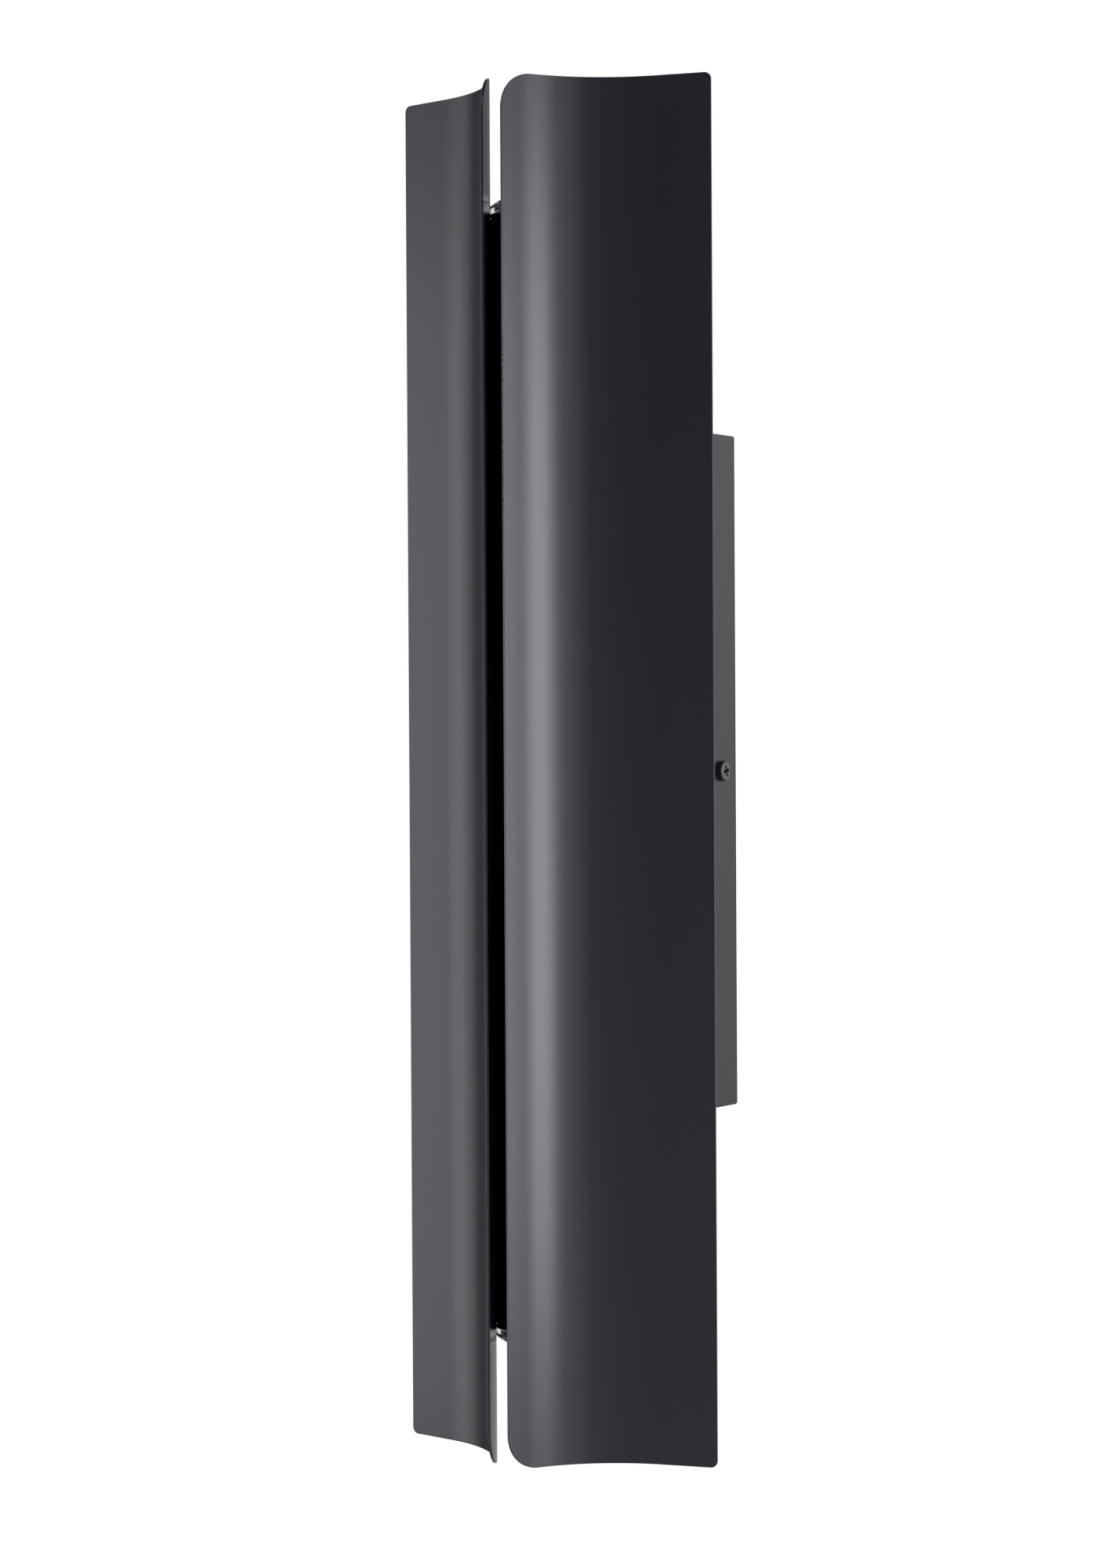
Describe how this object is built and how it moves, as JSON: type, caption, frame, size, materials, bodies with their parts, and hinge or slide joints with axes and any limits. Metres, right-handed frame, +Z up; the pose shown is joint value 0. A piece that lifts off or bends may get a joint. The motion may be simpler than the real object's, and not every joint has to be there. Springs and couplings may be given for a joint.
{
  "type": "outdoor wall sconce",
  "caption": "Slim up-and-down outdoor wall sconce: mirrored concave sheet shades leave a narrow slot before a round light column with clear domed lenses, on a rectangular wall canopy.",
  "frame": {"origin": "middle of the two wall slots, on the wall plane", "axes": "+Z up along the shades, +X to the right seen from the room, +Y into the wall, so -Y leads out into the room"},
  "size_m": [0.1606, 0.0938, 0.61],
  "materials": {
    "shade_paint": "satin black powder coat",
    "canopy_paint": "satin black powder coat",
    "column_paint": "matte black powder coat",
    "bracket_paint": "matte black powder coat",
    "black_screw": "black oxide",
    "zinc_steel": "bright zinc plate",
    "brass": "plain",
    "foam": "closed-cell foam",
    "rubber": "matte",
    "driver_case": "moulded",
    "terminal_plastic": "moulded",
    "ground_green": "green lacquer",
    "heat_sink": "plain",
    "led_board": "white solder mask",
    "led_phosphor": "yellow phosphor",
    "reflector": "bright",
    "lens_glass": "clear polished"
  },
  "bodies": {
    "root": {"wall_gasket": "foam", "canopy": "canopy_paint", "wall_bracket": "zinc_steel", "ground_screw": "ground_green", "canopy_screws": "black_screw", "led_driver": "driver_case", "terminal_block": "terminal_plastic", "canopy_nuts": "zinc_steel", "light_column": "column_paint", "upper_shade_bracket": "bracket_paint", "lower_shade_bracket": "bracket_paint", "upper_saddle": "bracket_paint", "lower_saddle": "bracket_paint", "column_screws": "zinc_steel", "centre_spacer": "bracket_paint", "wire_nipple": "brass", "nipple_nut": "brass", "nipple_bushing": "terminal_plastic", "shade_right": "shade_paint", "shade_left": "shade_paint", "shade_studs": "zinc_steel", "shade_nuts": "zinc_steel", "upper_heat_sink": "heat_sink", "lower_heat_sink": "heat_sink", "heat_sink_screws": "black_screw", "upper_led_board": "led_board", "lower_led_board": "led_board", "upper_led_emitter": "led_phosphor", "lower_led_emitter": "led_phosphor", "led_board_screws": "zinc_steel", "upper_reflector": "reflector", "lower_reflector": "reflector", "upper_lens_gasket": "rubber", "lower_lens_gasket": "rubber", "upper_lens": "lens_glass", "lower_lens": "lens_glass"}
  },
  "joints": []
}
